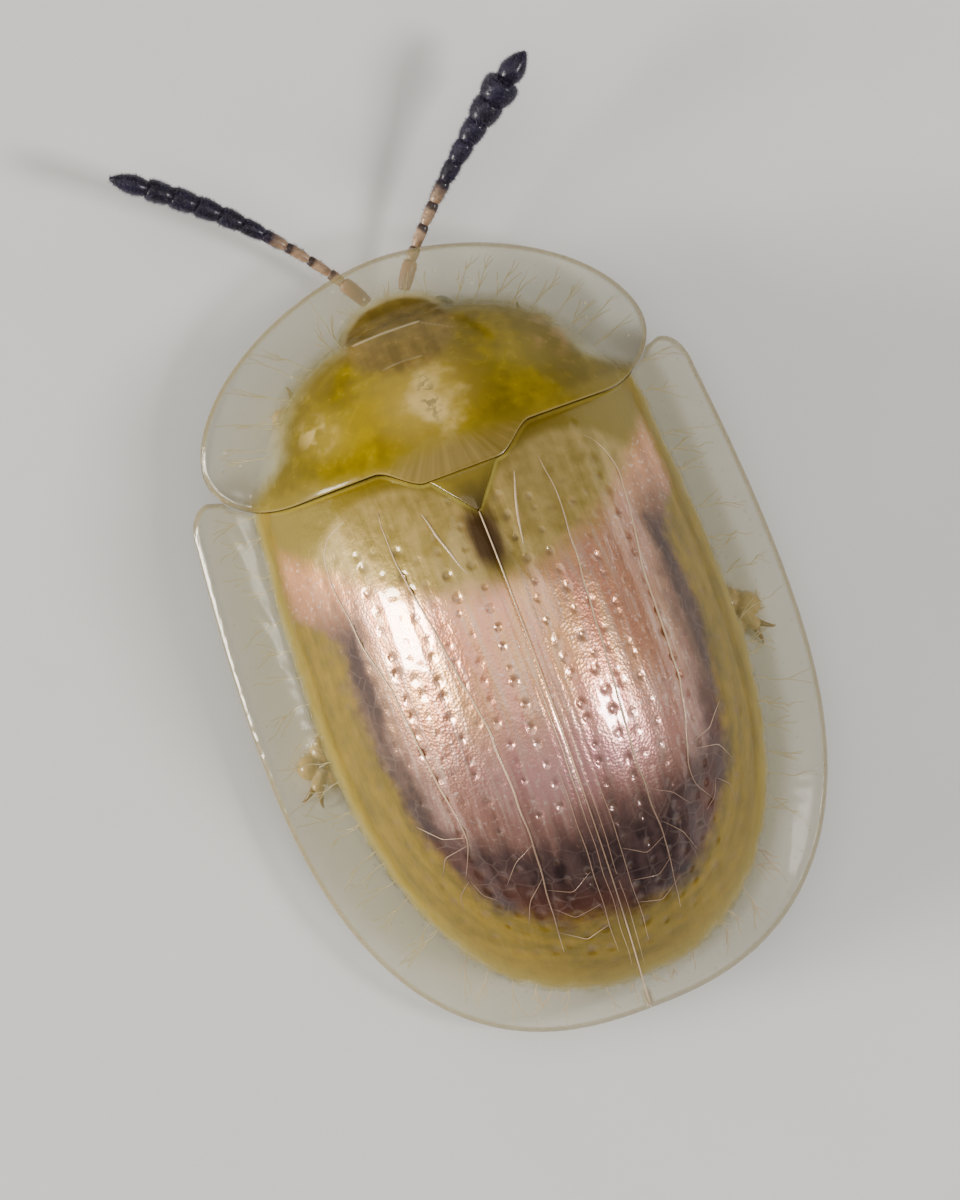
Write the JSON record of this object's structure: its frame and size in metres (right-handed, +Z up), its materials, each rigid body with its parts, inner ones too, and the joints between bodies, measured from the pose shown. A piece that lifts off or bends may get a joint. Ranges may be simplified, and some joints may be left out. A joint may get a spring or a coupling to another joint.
{
  "type": "tortoise beetle",
  "caption": "Life-size tortoise beetle standing on its six feet: domed disc, wide clear shell margin hiding head and legs, feelers spread forward.",
  "frame": {"origin": "on the ground, under the middle of the whole box, feelers included", "axes": "+Z up, +Y towards the tail, +X towards the beetle's left"},
  "size_m": [0.0048, 0.0084, 0.0025],
  "materials": {
    "elytra_shell": "pearly, glossy, clear towards the rim",
    "pronotum_shell": "translucent, glossy",
    "scutellum_shell": "glossy",
    "body_cuticle": "satin, translucent",
    "leg_cuticle": "satin, translucent",
    "eye": "glossy",
    "feeler": "downy"
  },
  "bodies": {
    "root": {"pronotum": "pronotum_shell", "elytron_left": "elytra_shell", "elytron_right": "elytra_shell", "scutellum": "scutellum_shell", "head": "body_cuticle", "prothorax": "body_cuticle", "thorax": "body_cuticle", "abdomen": "body_cuticle", "antenna_left": "feeler", "antenna_right": "feeler", "leg_front_left": "leg_cuticle", "leg_front_right": "leg_cuticle", "leg_middle_left": "leg_cuticle", "leg_middle_right": "leg_cuticle", "leg_hind_left": "leg_cuticle", "leg_hind_right": "leg_cuticle", "eye_left": "eye", "eye_right": "eye"}
  },
  "joints": []
}
